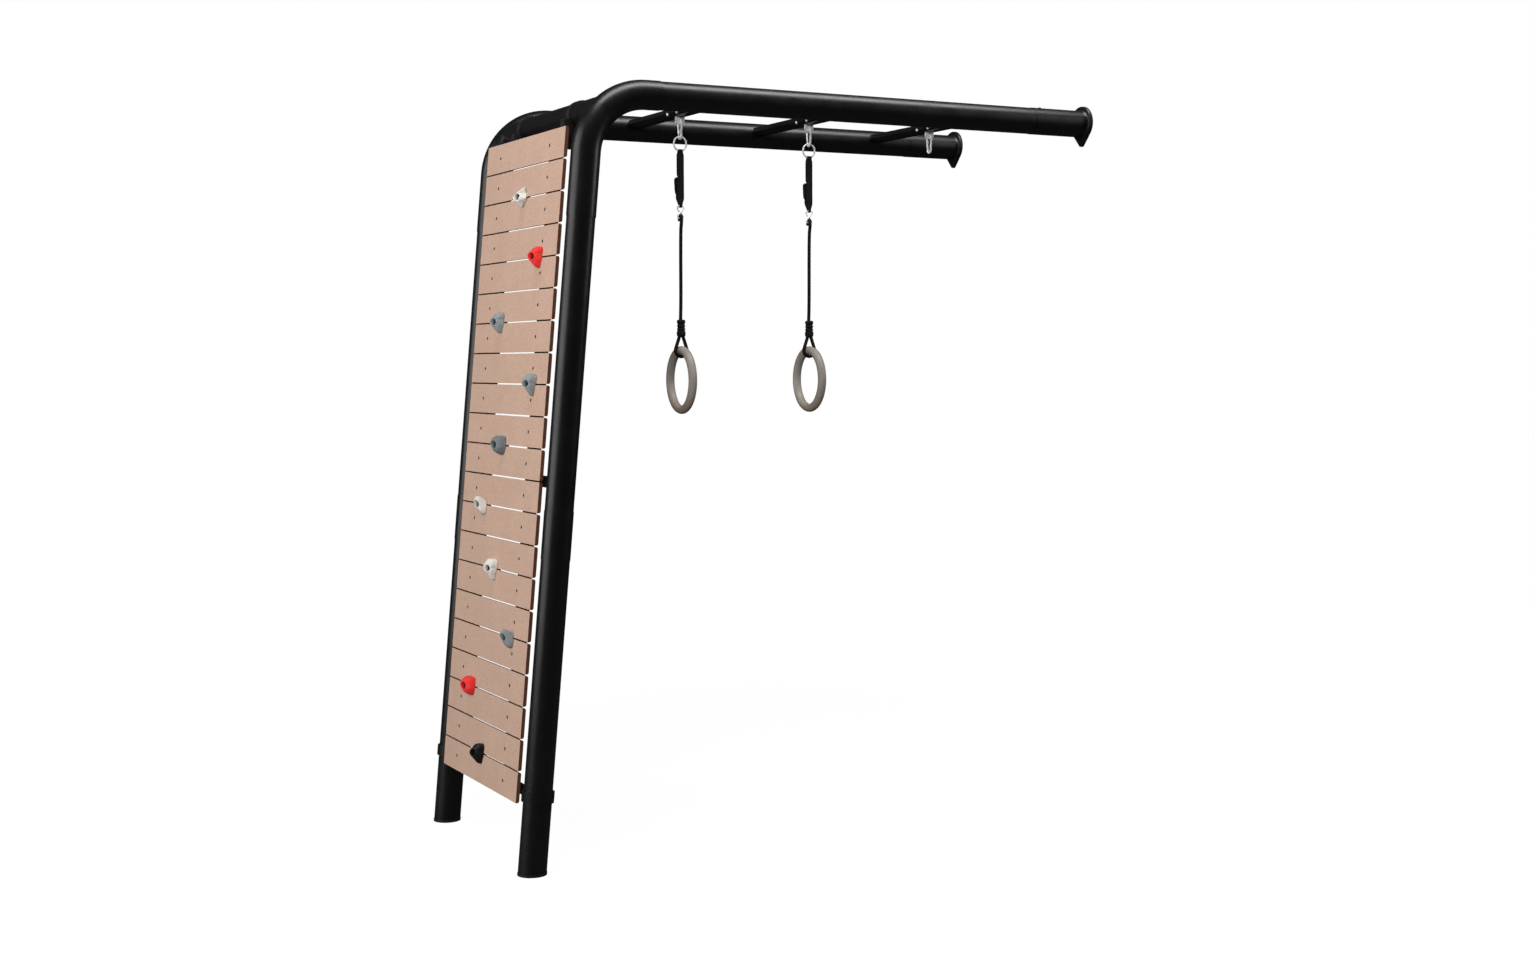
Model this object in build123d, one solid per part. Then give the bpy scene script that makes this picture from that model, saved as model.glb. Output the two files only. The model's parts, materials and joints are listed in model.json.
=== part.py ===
from build123d import *

import math
import os

# Wall-fixed climbing frame: two bent tube frames, three rungs, a leaning wall of planks with
# holds, and two gym rings on straps and ropes.  Millimetres.  X runs along the top beams, from
# the climbing wall to the wall flanges, Y across the frame, Z up from the ground.  Shapes are
# built with X = 0 where the leg axis and the beam axis would meet, and exported with the origin
# on the ground at the middle of the whole object.

# --- driving dimensions -------------------------------------------------------------------
ORIGIN_X = 788.3            # from the leg and beam corner to the middle of the object
TUBE_OD = 88.9              # structural tube
TUBE_WALL = 2.5
SPAN = 811.4                # between the axes of the two frames
BEAM_Z = 2390.8             # height of the beam axis
LEAN = 5.14                 # legs lean from the vertical, degrees
BEND_RADIUS = 200.0         # at the axis of the corner tube
CORNER_OD = 92.0
CORNER_WALL = 3.0
LEG_LOWER_JOINT = 1432.6    # down the lean from the corner
LEG_UPPER_JOINT = 381.3
SOCKET_OD = 91.2            # flared lower end of the upper leg
SOCKET_LENGTH = 150.0
SPIGOT_LENGTH = 80.0        # swaged end that enters the next tube
JOINT_GAP = 0.05            # running fit of a spigot, radial
BEAM_START_X = 229.5        # end of the corner tube
BEAM_END_X = 1630.0         # start of the wall sleeve
SLEEVE_OD = 91.0
SLEEVE_WALL = 3.0
FLANGE_FACE_X = 1855.0
FLANGE_THICKNESS = 12.0
FLANGE_BIG_RADIUS = 58.0
FLANGE_BIG_RISE = 3.0       # centre of the big round above the tube axis
FLANGE_TIP_RADIUS = 12.0
FLANGE_TIP_DROP = 66.0
FLANGE_TIP_HOLE_DROP = 62.0
FLANGE_HOLE_RADIUS = 4.5
FLANGE_BOLT_SPACING = 50.0  # two holes inside the sleeve, along Y
COVE_RADIUS = 9.0

RUNG_XS = (492.6, 986.2, 1480.0)
RUNG_WIDTH = 60.0
RUNG_HEIGHT = 30.0
RUNG_WALL = 2.5
RUNG_Z = 2402.0
RUNG_SCREW_Y = 36.0

CROSSBAR_X = 47.9           # on the corner tube's axis, at the middle of its bend
CROSSBAR_Z = 2338.4

WALL_FRONT_X = -47.9        # front of the planks at beam height
PLANK_WIDTH = 692.4
PLANK_PITCH = 99.6
PLANK_GAP = 4.6
PLANK_THICKNESS = 11.5
PLANK_COUNT = 21
PLANK_GROUPS = ("planks_top", "planks_middle", "planks_bottom")
FIRST_GAP = 198.2           # first gap, down the lean from beam height
BATTEN_Y = 220.0
BATTEN_WIDTH = 58.0
BATTEN_DEPTH = 25.0
BATTEN_TOP = 103.0
BATTEN_BOTTOM = 2187.0
BRACKET_PLATE = 5.0
SIDE_BRACKET_S = 1194.2
CLAMP_S = 2154.0
CLAMP_HEIGHT = 34.0
CLAMP_OD = 101.0
SADDLE_OD = 98.0
SADDLE_WIDTH = 30.0

WIRE_7 = 3.5                # radius of the snap hook wire
WIRE_6 = 3.0                # O-ring
WIRE_5 = 2.5                # small link
HOOK_TOP_Z = 2378.0         # wire centre in the lug
HOOK_BIG_RADIUS = 15.0      # at the wire centre
HOOK_SMALL_RADIUS = 9.5
HOOK_SPACING = 40.0         # between the centres of the two rounds
GATE_START = 6.5            # hinge, up the gate side from the small round
GATE_END = 36.0
GATE_RADIUS = 3.1
GATE_GAP = 0.7              # between the gate and the nose that stops it
GATE_PIN_RADIUS = 1.0
LUG_WIDTH = 33.0
LUG_THICKNESS = 6.0
LUG_BOTTOM_Z = 2364.0
LUG_HOLE_RADIUS = 4.4
O_RING_OD = 52.0
O_RING_GAP = 0.4
STRAP_WIDTH = 25.0
STRAP_TOP_WIDTH = 17.0
STRAP_TONGUE_WIDTH = 10.0
LINK_TOP_Z = 2090.0         # wire centre at the top of the link
LINK_BOTTOM_Z = 2049.2
LINK_EYE_RADIUS = 10.6
BUCKLE_TOP_Z = 2186.0
BUCKLE_BOTTOM_Z = 2132.0
BUCKLE_WIDTH = 28.0
LEVER_HINGE_Y = 15.0
LEVER_HINGE_Z = 2178.0
ROPE_RADIUS = 6.0
KNOT_TOP_Z = 1710.4
KNOT_BOTTOM_Z = 1651.5
KNOT_RADIUS = 15.5
RING_TUBE_RADIUS = 14.5
RING_RADIUS = 100.0         # at the tube centre
RING_TOP_Z = 1606.8
RING_TURN = -3.0            # the gym rings hang turned about Z, degrees
SEAT_GAP = 0.4              # between a rope or ring and what it hangs on

# Small sizes.
FOOT_CAP_RADIUS = 45.6
FOOT_CAP_LIP = 8.0
FOOT_CAP_HEIGHT = 40.0
BEAM_SPIGOT = 44.0          # shorter, because the corner tube starts to bend there
LUG_CORNER = 9.0
SCREW_HEAD = 5.0
SCREW_HEAD_HEIGHT = 2.6
SCREW_SHANK = 5.0
SCREW_CLEARANCE = 0.1
RUNG_SCREW_TILT = math.radians(20)   # the heads sit a little below the rung's middle
JOINT_SCREW_INSET = 40.0
PLANK_EDGE = 6.5            # rounding of a plank's long back edges
PLANK_SCREW_R = 4.2
SCREW_SINK = 4.0
BATTEN_WALL = 2.5
SADDLE_TOP = 60.0
SADDLE_BOTTOM = 150.0
HOLD_BOLT_R = 4.3
HOLD_BORE_R = 8.5
HOLD_SEAT = 14.0
BOLT_HEAD_R = 6.5
BOLT_HEAD_HEIGHT = 8.0
NUT_RADIUS = 7.5
NUT_HEIGHT = 7.0
TONGUE_THICKNESS = 2.6
TONGUE_RADIUS = 2.6
STRAP_TOP_RADIUS = 13.0
STRAP_TOP_HOLE = 5.0
STRAP_END_RADIUS = 10.8
STRAP_END_HOLE = 4.9
CHEEK = 2.5
LEVER_PIN_R = 1.5
LEVER_CAM_R = 6.2
RIB_PITCH = 8.0
KNOT_TURNS = 6
BUCKLE_FRONT_Y = 4.3        # of the buckle's base plate, behind the strap
BUCKLE_BACK_Y = 8.3
CHEEK_DROP = 16.0
CHEEK_RISE = 5.0
CHEEK_DEPTH = 4.0
LEVER_TIP_Y = (13.5, 17.5)
LEVER_BELLY = (23.5, 2160.0)
LEVER_TOP = (19.5, 2183.5)
RIB_RADIUS = 2.4
RIB_Y = 24.6
RIB_LOW_Z = 2144.0
RIBS = 5
HOOK_STUB = 1.0             # straight at the hinge end of the hook's wire

# Side outline of the strap in (Y, Z), round the O-ring's wire above and the link's wire below.
STRAP_SIDE = (
    (-4.5, 2274.4),
    (-4.5, 2104.0),
    (-8.0, 2090.0),
    (8.0, 2090.0),
    (11.5, 2112.0),
    (11.5, 2128.0),
    (4.0, 2131.0),
    (4.0, 2274.4),
)
# Half widths of the strap in (X, Z), from its lower end up.
STRAP_EDGE = (
    (STRAP_TONGUE_WIDTH / 2, 2078.0),
    (STRAP_TONGUE_WIDTH / 2, 2096.0),
    (STRAP_WIDTH / 2, 2112.0),
    (STRAP_WIDTH / 2, 2262.9),
    (STRAP_TOP_WIDTH / 2, 2269.4),
    (STRAP_TOP_WIDTH / 2, 2288.6),
)
# Corners of the rope and the radius at each, from over the link, down, and round the gym ring
# back into the knot; X is measured from the middle of the set.
ROPE_ROUTE = (
    (0, 8.9, 2040.2),
    (0, 8.9, 2058.1),
    (0, -8.9, 2058.1),
    (0, -8.9, 2035.2),
    (0, 0, 2005.2),
    (0, 0, 1672.0),
    (-23.2, 0, 1603.3),
    (-10.7, 0, 1585.9),
    (10.7, 0, 1585.9),
    (23.2, 0, 1603.3),
    (6.2, 0, 1653.8),
)
ROPE_RADII = (8.8, 8.8, 70.0, 95.0, 60.0, 20.7, 20.7, 20.7, 20.7)

# Each hold: name, across, gap number, shape.
HOLDS = (
    ("hold_01_star", -32, 1, "star"),
    ("hold_02_heart", -206, 3, "heart"),
    ("hold_03_heart", 97, 5, "heart"),
    ("hold_04_shield", -234, 7, "shield"),
    ("hold_05_dome", -2, 9, "dome"),
    ("hold_06_jug", 126, 11, "jug"),
    ("hold_07_shield", -12, 13, "shield"),
    ("hold_08_jug", -207, 15, "jug"),
    ("hold_09_dome", 118, 17, "dome"),
    ("hold_10_heart", -13, 19, "heart"),
)
# Outline radii from the top, clockwise, and levels: height, scale, shift down the wall.
HOLD_SHAPES = {
    "star": (
        (36, 30, 33, 32, 29, 34, 29, 32, 33, 30),
        ((0, 1.0, 0), (12, 0.97, 0), (30, 0.62, -4), (37, 0.42, -6)),
    ),
    "heart": (
        (33, 34, 33, 30, 31, 35, 31, 30, 33, 34),
        ((0, 1.0, 0), (12, 1.0, 0), (28, 0.8, -2), (36, 0.52, -4)),
    ),
    "shield": (
        (33, 32, 32, 30, 31, 39, 31, 30, 32, 32),
        ((0, 1.0, 0), (12, 0.98, 0), (28, 0.76, -4), (36, 0.52, -6)),
    ),
    "dome": (
        (32, 31, 31, 32, 31, 32, 31, 32, 31, 31),
        ((0, 1.0, 0), (14, 0.97, 0), (28, 0.8, 0), (36, 0.48, 0)),
    ),
    "jug": (
        (34, 30, 28, 29, 32, 35, 32, 29, 28, 30),
        ((0, 1.0, 0), (12, 0.98, 0), (30, 0.72, -5), (37, 0.5, -8)),
    ),
}

HALF_SPAN = SPAN / 2
TUBE_R = TUBE_OD / 2
LEAN_RAD = math.radians(LEAN)
UP_LEG = Vector(math.sin(LEAN_RAD), 0, math.cos(LEAN_RAD))
BEND_TANGENT = BEND_RADIUS * math.tan(math.radians(90 - LEAN) / 2)

# Wall frame: x across the frame, y down the lean from beam height, z out of the planks.
WALL = Plane(
    origin=(WALL_FRONT_X, 0, BEAM_Z),
    x_dir=(0, 1, 0),
    z_dir=(-math.cos(LEAN_RAD), 0, math.sin(LEAN_RAD)),
)
LEG_DEPTH = -WALL_FRONT_X * math.cos(LEAN_RAD)   # leg axis behind the front of the planks


# --- helpers ------------------------------------------------------------------------------
def save(node, *solids):
    """Write one node, moved so that the origin is at the middle of the object."""
    shape = solids[0] if len(solids) == 1 else Compound(children=list(solids))
    shape = shape.moved(Location((-ORIGIN_X, 0, 0)))
    shape.label = node
    export_step(shape, f"parts/{node}.step")


def rod(start, end, radius):
    """Solid round bar between two points."""
    start = Vector(*start)
    along = Vector(*end) - start
    return Plane(origin=start, z_dir=along) * extrude(Circle(radius), along.length)


def pipe(start, end, outer, inner):
    """Round tube between two points."""
    start = Vector(*start)
    along = Vector(*end) - start
    section = Circle(outer) - Circle(inner)
    return Plane(origin=start, z_dir=along) * extrude(section, along.length)


def block(x, y, z):
    """Box between pairs of coordinates."""
    size = [b - a for a, b in (x, y, z)]
    middle = [(a + b) / 2 for a, b in (x, y, z)]
    return Pos(*middle) * Box(*size)


def on_leg(distance, y):
    """Point on a leg axis, measured down the lean from the corner."""
    return Vector(0, y, BEAM_Z) - UP_LEG * distance


def yz_shape(x, shape):
    """Place a shape drawn in (Y, Z) at the given X."""
    return Plane(origin=(x, 0, 0), x_dir=(0, 1, 0), z_dir=(1, 0, 0)) * shape


def first_solid(shape):
    """The only solid of a boolean result."""
    return max(shape.solids(), key=lambda solid: solid.volume)


# --- bent frames --------------------------------------------------------------------------
def lower_leg(y):
    foot = on_leg((BEAM_Z + TUBE_R) / math.cos(LEAN_RAD), y)
    joint = on_leg(LEG_LOWER_JOINT, y)
    spigot_end = on_leg(LEG_LOWER_JOINT - SPIGOT_LENGTH, y)
    spigot_r = TUBE_R - TUBE_WALL - JOINT_GAP
    leg = pipe(foot, joint, TUBE_R, TUBE_R - TUBE_WALL)
    leg += pipe(joint - UP_LEG * SPIGOT_LENGTH / 4, spigot_end, spigot_r, spigot_r - TUBE_WALL)
    ground = block((-SPAN, SPAN), (-SPAN, SPAN), (-SPAN, FOOT_CAP_LIP))
    return first_solid(leg - ground)


def upper_leg(y):
    joint = on_leg(LEG_LOWER_JOINT, y)
    top = on_leg(LEG_UPPER_JOINT, y)
    spigot_end = on_leg(LEG_UPPER_JOINT - SPIGOT_LENGTH, y)
    inner = TUBE_R - TUBE_WALL
    spigot_r = CORNER_OD / 2 - CORNER_WALL - JOINT_GAP
    leg = pipe(joint, top, TUBE_R, inner)
    leg += pipe(joint, on_leg(LEG_LOWER_JOINT - SOCKET_LENGTH, y), SOCKET_OD / 2, inner)
    leg += pipe(top - UP_LEG * SPIGOT_LENGTH / 4, spigot_end, spigot_r, inner - TUBE_WALL)
    leg -= rod(on_leg(LEG_UPPER_JOINT + SPIGOT_LENGTH / 2, y), spigot_end, inner - TUBE_WALL)
    return first_solid(leg)


def corner_path(y):
    leg_end = on_leg(LEG_UPPER_JOINT, y)
    corner = Vector(0, y, BEAM_Z)
    beam_end = Vector(BEAM_START_X, y, BEAM_Z)
    return FilletPolyline(leg_end, corner, beam_end, radius=BEND_RADIUS)


def corner_tube(y, inner=True):
    path = corner_path(y)
    profile = Plane(origin=on_leg(LEG_UPPER_JOINT, y), z_dir=UP_LEG)
    shape = sweep(profile * Circle(CORNER_OD / 2), path=path)
    if inner:
        shape -= sweep(profile * Circle(CORNER_OD / 2 - CORNER_WALL), path=path)
    return first_solid(shape)


def beam(y):
    inner = TUBE_R - TUBE_WALL
    corner_fit = CORNER_OD / 2 - CORNER_WALL - JOINT_GAP
    sleeve_fit = SLEEVE_OD / 2 - SLEEVE_WALL - JOINT_GAP
    start = (BEAM_START_X, y, BEAM_Z)
    end = (BEAM_END_X, y, BEAM_Z)
    shape = pipe(start, end, TUBE_R, inner)
    shape += pipe((BEAM_START_X - BEAM_SPIGOT, y, BEAM_Z), start, corner_fit, inner - TUBE_WALL)
    shape += pipe(start, (BEAM_START_X + SPIGOT_LENGTH / 4, y, BEAM_Z), inner, inner - TUBE_WALL)
    shape += pipe(end, (BEAM_END_X + SPIGOT_LENGTH, y, BEAM_Z), sleeve_fit, inner - TUBE_WALL)
    shape += pipe((BEAM_END_X - SPIGOT_LENGTH / 4, y, BEAM_Z), end, inner, inner - TUBE_WALL)
    return first_solid(shape)


def foot_cap(y):
    """Plastic cap pressed into the foot, flat on the ground."""
    inside = TUBE_R - TUBE_WALL
    above = on_leg((BEAM_Z - FOOT_CAP_HEIGHT) / math.cos(LEAN_RAD), y)
    below = on_leg((BEAM_Z + TUBE_R) / math.cos(LEAN_RAD), y)
    cap = rod(below, above, inside)
    lip = rod(below, above, FOOT_CAP_RADIUS)
    lip -= block((-SPAN, SPAN), (-SPAN, SPAN), (FOOT_CAP_LIP, SPAN))
    cap += lip
    cap -= block((-SPAN, SPAN), (-SPAN, SPAN), (-SPAN, 0))
    return first_solid(cap)


def flange_outline():
    """Pear-shaped plate outline in (Y, Z) about the tube axis, point down."""
    drop = FLANGE_TIP_DROP + FLANGE_BIG_RISE
    tilt = math.asin((FLANGE_BIG_RADIUS - FLANGE_TIP_RADIUS) / drop)
    side = Vector(math.cos(tilt), -math.sin(tilt))
    big = Vector(0, FLANGE_BIG_RISE)
    tip = Vector(0, -FLANGE_TIP_DROP)
    right = [big + side * FLANGE_BIG_RADIUS, tip + side * FLANGE_TIP_RADIUS]
    left = [Vector(-p.X, p.Y) for p in right]
    edges = [
        Line(right[0], right[1]),
        ThreePointArc(right[1], tip - Vector(0, FLANGE_TIP_RADIUS), left[1]),
        Line(left[1], left[0]),
        ThreePointArc(left[0], big + Vector(0, FLANGE_BIG_RADIUS), right[0]),
    ]
    return make_face(edges)


def wall_flange(y):
    """Sleeve round the beam end with the plate that is bolted to the wall."""
    back = FLANGE_FACE_X - FLANGE_THICKNESS
    inner = SLEEVE_OD / 2 - SLEEVE_WALL
    at_back = Plane(origin=(back, y, BEAM_Z), x_dir=(0, 1, 0), z_dir=(1, 0, 0))
    plate = at_back * extrude(flange_outline(), FLANGE_THICKNESS)
    rim = plate.faces().sort_by(Axis.X)[0].edges()
    plate = fillet(rim, FLANGE_THICKNESS / 3)
    sleeve = pipe((BEAM_END_X, y, BEAM_Z), (back, y, BEAM_Z), SLEEVE_OD / 2, inner)
    cove_top = SLEEVE_OD / 2 + COVE_RADIUS
    cove = Plane(origin=(back - COVE_RADIUS, y, BEAM_Z), z_dir=(1, 0, 0)) * extrude(
        Circle(cove_top) - Circle(SLEEVE_OD / 2 - SLEEVE_WALL / 2), COVE_RADIUS
    )
    cove -= Pos(back - COVE_RADIUS, y, BEAM_Z) * Rot(0, 90, 0) * Torus(cove_top, COVE_RADIUS)
    shape = plate + sleeve + cove
    holes = [(-FLANGE_TIP_HOLE_DROP, 0), (0, FLANGE_BOLT_SPACING / 2), (0, -FLANGE_BOLT_SPACING / 2)]
    for dz, dy in holes:
        start = (back - FLANGE_THICKNESS, y + dy, BEAM_Z + dz)
        shape -= rod(start, (FLANGE_FACE_X + 1, y + dy, BEAM_Z + dz), FLANGE_HOLE_RADIUS)
    return first_solid(shape)


# --- crossbar and rungs -------------------------------------------------------------------
def crossbar():
    ends = [(CROSSBAR_X, side * HALF_SPAN, CROSSBAR_Z) for side in (-1, 1)]
    bar = pipe(ends[0], ends[1], TUBE_R, TUBE_R - TUBE_WALL)
    for side in (-1, 1):
        bar -= corner_tube(side * HALF_SPAN, inner=False)
    return first_solid(bar)


def rung(x):
    profile = SlotOverall(RUNG_WIDTH, RUNG_HEIGHT)
    hollow = SlotOverall(RUNG_WIDTH - 2 * RUNG_WALL, RUNG_HEIGHT - 2 * RUNG_WALL)
    start = Plane(origin=(x, -HALF_SPAN, RUNG_Z), x_dir=(1, 0, 0), z_dir=(0, 1, 0))
    bar = start * extrude(profile - hollow, SPAN)
    for side in (-1, 1):
        y = side * HALF_SPAN
        bar -= rod((x - RUNG_WIDTH, y, BEAM_Z), (x + RUNG_WIDTH, y, BEAM_Z), TUBE_R)
    return first_solid(bar)


def lug(x):
    """Plate under the middle of a rung, with the hole for the snap hook."""
    top = RUNG_Z - RUNG_HEIGHT / 2
    height = top - LUG_BOTTOM_Z
    plate = Pos(x, 0, top - height / 2) * Box(LUG_WIDTH, LUG_THICKNESS, height)
    lower = plate.edges().filter_by(Axis.Y).group_by(Axis.Z)[0]
    plate = fillet(lower, LUG_CORNER)
    plate -= rod((x, -LUG_WIDTH, HOOK_TOP_Z), (x, LUG_WIDTH, HOOK_TOP_Z), LUG_HOLE_RADIUS)
    return first_solid(plate)


def button_head(centre, out):
    """Round screw head with its shank, seated at a point and facing out."""
    head = extrude(Circle(SCREW_HEAD), SCREW_HEAD_HEIGHT)
    head = fillet(head.edges().sort_by(Axis.Z)[-1], SCREW_HEAD_HEIGHT * 0.8)
    head += extrude(Circle(SCREW_HEAD / 2), -SCREW_SHANK)
    return Plane(origin=centre, z_dir=out) * head


def rung_screw_places():
    """Seats of the screws in the front edge of each rung, either side of its lug."""
    radius = RUNG_HEIGHT / 2
    out = Vector(-math.cos(RUNG_SCREW_TILT), 0, -math.sin(RUNG_SCREW_TILT))
    places = []
    for x in RUNG_XS:
        edge_centre = x - RUNG_WIDTH / 2 + radius
        for side in (-1, 1):
            places.append((Vector(edge_centre, side * RUNG_SCREW_Y, RUNG_Z) + out * radius, out))
    return places


def joint_screw_places():
    """Seats of the tube joints' locking screws, behind the legs and on top of the beams."""
    behind = Vector(math.cos(LEAN_RAD), 0, -math.sin(LEAN_RAD))
    up = Vector(0, 0, 1)
    places = []
    for y in (-HALF_SPAN, HALF_SPAN):
        beam_end = Vector(BEAM_END_X + JOINT_SCREW_INSET, y, BEAM_Z)
        upper_socket = on_leg(LEG_LOWER_JOINT - JOINT_SCREW_INSET, y)
        lower_corner = on_leg(LEG_UPPER_JOINT - JOINT_SCREW_INSET, y)
        places.append((upper_socket + behind * (SOCKET_OD / 2), behind))
        places.append((lower_corner + behind * (CORNER_OD / 2), behind))
        places.append((beam_end + up * (SLEEVE_OD / 2), up))
    return places


def drilled(shape, places):
    """The tube with a clearance hole under each screw."""
    for seat, out in places:
        shape -= rod(seat + out, seat - out * (SCREW_SHANK + 1), SCREW_HEAD / 2 + SCREW_CLEARANCE)
    return first_solid(shape)


# --- climbing wall ------------------------------------------------------------------------
def hold_place(index):
    """Wall coordinates of a hold: across, and down the lean."""
    across, gap = HOLDS[index][1:3]
    return across, FIRST_GAP + PLANK_PITCH * gap


def bolt_cut(radius, low, high):
    """Round bars through every hold position, in wall coordinates."""
    bars = []
    for index in range(len(HOLDS)):
        u, s = hold_place(index)
        bars.append(Pos(u, s, low) * extrude(Circle(radius), high - low))
    return bars


def plank(number, cutters):
    length = PLANK_PITCH - PLANK_GAP
    middle = FIRST_GAP + PLANK_PITCH * (number - 0.5)
    board = Pos(0, middle, -PLANK_THICKNESS / 2) * Box(PLANK_WIDTH, length, PLANK_THICKNESS)
    long_back = board.faces().sort_by(Axis.Z)[0].edges().filter_by(Axis.X)
    board = fillet(long_back, PLANK_EDGE)
    near = [c for c in cutters if abs(c.center().Y - middle) < length]
    for cutter in near:
        board -= cutter
    for side in (-1, 1):
        sink = Pos(side * BATTEN_Y, middle, -SCREW_SINK) * extrude(Circle(PLANK_SCREW_R), SCREW_SINK)
        board -= sink
        core = Pos(side * BATTEN_Y, middle, -PLANK_THICKNESS) * extrude(
            Circle(PLANK_SCREW_R / 2), PLANK_THICKNESS
        )
        board -= core
    return WALL * first_solid(board)


def plank_screws():
    screws = []
    for number in range(PLANK_COUNT):
        middle = FIRST_GAP + PLANK_PITCH * (number - 0.5)
        for side in (-1, 1):
            base = Pos(side * BATTEN_Y, middle, -SCREW_SINK)
            head = base * extrude(Circle(PLANK_SCREW_R - 0.2), SCREW_SINK - 0.8)
            depth = PLANK_THICKNESS - SCREW_SINK
            shank = base * extrude(Circle(PLANK_SCREW_R / 2 - 0.1), -depth)
            screws.append(WALL * (head + shank))
    return screws


def batten(side):
    low = -PLANK_THICKNESS - BATTEN_DEPTH
    edges = side * BATTEN_Y - BATTEN_WIDTH / 2, side * BATTEN_Y + BATTEN_WIDTH / 2
    outer = block(edges, (BATTEN_TOP, BATTEN_BOTTOM), (low, -PLANK_THICKNESS))
    inset = BATTEN_WALL
    hollow = block(
        (edges[0] + inset, edges[1] - inset),
        (BATTEN_TOP, BATTEN_BOTTOM),
        (low + inset, -PLANK_THICKNESS - inset),
    )
    bar = outer - hollow
    for index in range(len(HOLDS)):
        u, s = hold_place(index)
        if edges[0] - NUT_RADIUS < u < edges[1] + NUT_RADIUS:
            bar -= Pos(u, s, low) * extrude(Circle(NUT_RADIUS + 1), BATTEN_DEPTH)
    return WALL * first_solid(bar)


def leg_ring(side, s, height, outer):
    """Clamp ring round a leg, in wall coordinates."""
    centre = Pos(side * HALF_SPAN, s + height / 2, -LEG_DEPTH) * Rot(90, 0, 0)
    return centre * extrude(Circle(outer) - Circle(TUBE_R), height)


def bracket_plate(side, s, height, start):
    """Flat arm behind the battens, from a leg inwards."""
    low = -PLANK_THICKNESS - BATTEN_DEPTH - BRACKET_PLATE
    inner = BATTEN_Y - BATTEN_WIDTH / 2
    across = sorted((side * start, side * inner))
    return block(across, (s - height / 2, s + height / 2), (low, low + BRACKET_PLATE))


def leg_clamp(side):
    ring = leg_ring(side, CLAMP_S, CLAMP_HEIGHT, CLAMP_OD / 2)
    arm = bracket_plate(side, CLAMP_S, CLAMP_HEIGHT, HALF_SPAN)
    arm -= Pos(side * HALF_SPAN, CLAMP_S + CLAMP_HEIGHT, -LEG_DEPTH) * Rot(90, 0, 0) * extrude(
        Circle(TUBE_R), 2 * CLAMP_HEIGHT
    )
    return WALL * first_solid(ring + arm)


def side_bracket(side):
    height = CLAMP_HEIGHT + 2
    arm = bracket_plate(side, SIDE_BRACKET_S, height, HALF_SPAN)
    pad = block(
        sorted((side * (HALF_SPAN - TUBE_R - BRACKET_PLATE), side * HALF_SPAN)),
        (SIDE_BRACKET_S - height / 2, SIDE_BRACKET_S + height / 2),
        (-LEG_DEPTH - height / 2, -LEG_DEPTH + height / 2),
    )
    shape = arm + pad
    shape -= Pos(side * HALF_SPAN, SIDE_BRACKET_S + height, -LEG_DEPTH) * Rot(90, 0, 0) * extrude(
        Circle(TUBE_R), 2 * height
    )
    return WALL * first_solid(shape)


def saddle(side):
    """Plastic saddle round the crossbar that holds the top of a batten."""
    y = side * BATTEN_Y
    axis_start = (CROSSBAR_X, y - SADDLE_WIDTH / 2, CROSSBAR_Z)
    axis_end = (CROSSBAR_X, y + SADDLE_WIDTH / 2, CROSSBAR_Z)
    ring = pipe(axis_start, axis_end, SADDLE_OD / 2, TUBE_R)
    low = -PLANK_THICKNESS - BATTEN_DEPTH
    arm = WALL * block(
        (y - SADDLE_WIDTH / 2, y + SADDLE_WIDTH / 2),
        (SADDLE_TOP, SADDLE_BOTTOM),
        (-LEG_DEPTH * 2, low),
    )
    arm -= rod(axis_start, axis_end, TUBE_R)
    return first_solid(ring + arm)


def polygon_ring(radii, scale, shift):
    """Closed outline with one radius for each equal angle, moved down the wall."""
    step = 2 * math.pi / len(radii)
    points = []
    for k, radius in enumerate(radii):
        reach = radius * scale
        points.append((reach * math.sin(step * k), shift - reach * math.cos(step * k)))
    return make_face(Polyline(points, close=True))


def hold(index):
    """Moulded climbing hold: stacked outlines, with a bolt hole and its counterbore."""
    radii, levels = HOLD_SHAPES[HOLDS[index][3]]
    layers = [Pos(0, 0, height) * polygon_ring(radii, scale, shift) for height, scale, shift in levels]
    body = loft(layers, ruled=True)
    top = levels[-1][0]
    body -= extrude(Circle(HOLD_BOLT_R), top)
    body -= Pos(0, 0, HOLD_SEAT) * extrude(Circle(HOLD_BORE_R), top)
    u, s = hold_place(index)
    return WALL * (Pos(u, s, 0) * first_solid(body))


def hold_bolts():
    bolts = []
    back = -PLANK_THICKNESS
    for index in range(len(HOLDS)):
        u, s = hold_place(index)
        shank = extrude(Circle(HOLD_BOLT_R - 0.3), HOLD_SEAT - back + NUT_HEIGHT)
        shape = Pos(u, s, back - NUT_HEIGHT) * shank
        head = extrude(Circle(BOLT_HEAD_R), BOLT_HEAD_HEIGHT) - Pos(0, 0, BOLT_HEAD_HEIGHT / 2) * (
            extrude(RegularPolygon(BOLT_HEAD_R / 2, 6), BOLT_HEAD_HEIGHT)
        )
        shape += Pos(u, s, HOLD_SEAT) * head
        shape += Pos(u, s, back - NUT_HEIGHT) * extrude(RegularPolygon(NUT_RADIUS, 6), NUT_HEIGHT)
        bolts.append(WALL * first_solid(shape))
    return bolts


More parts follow.
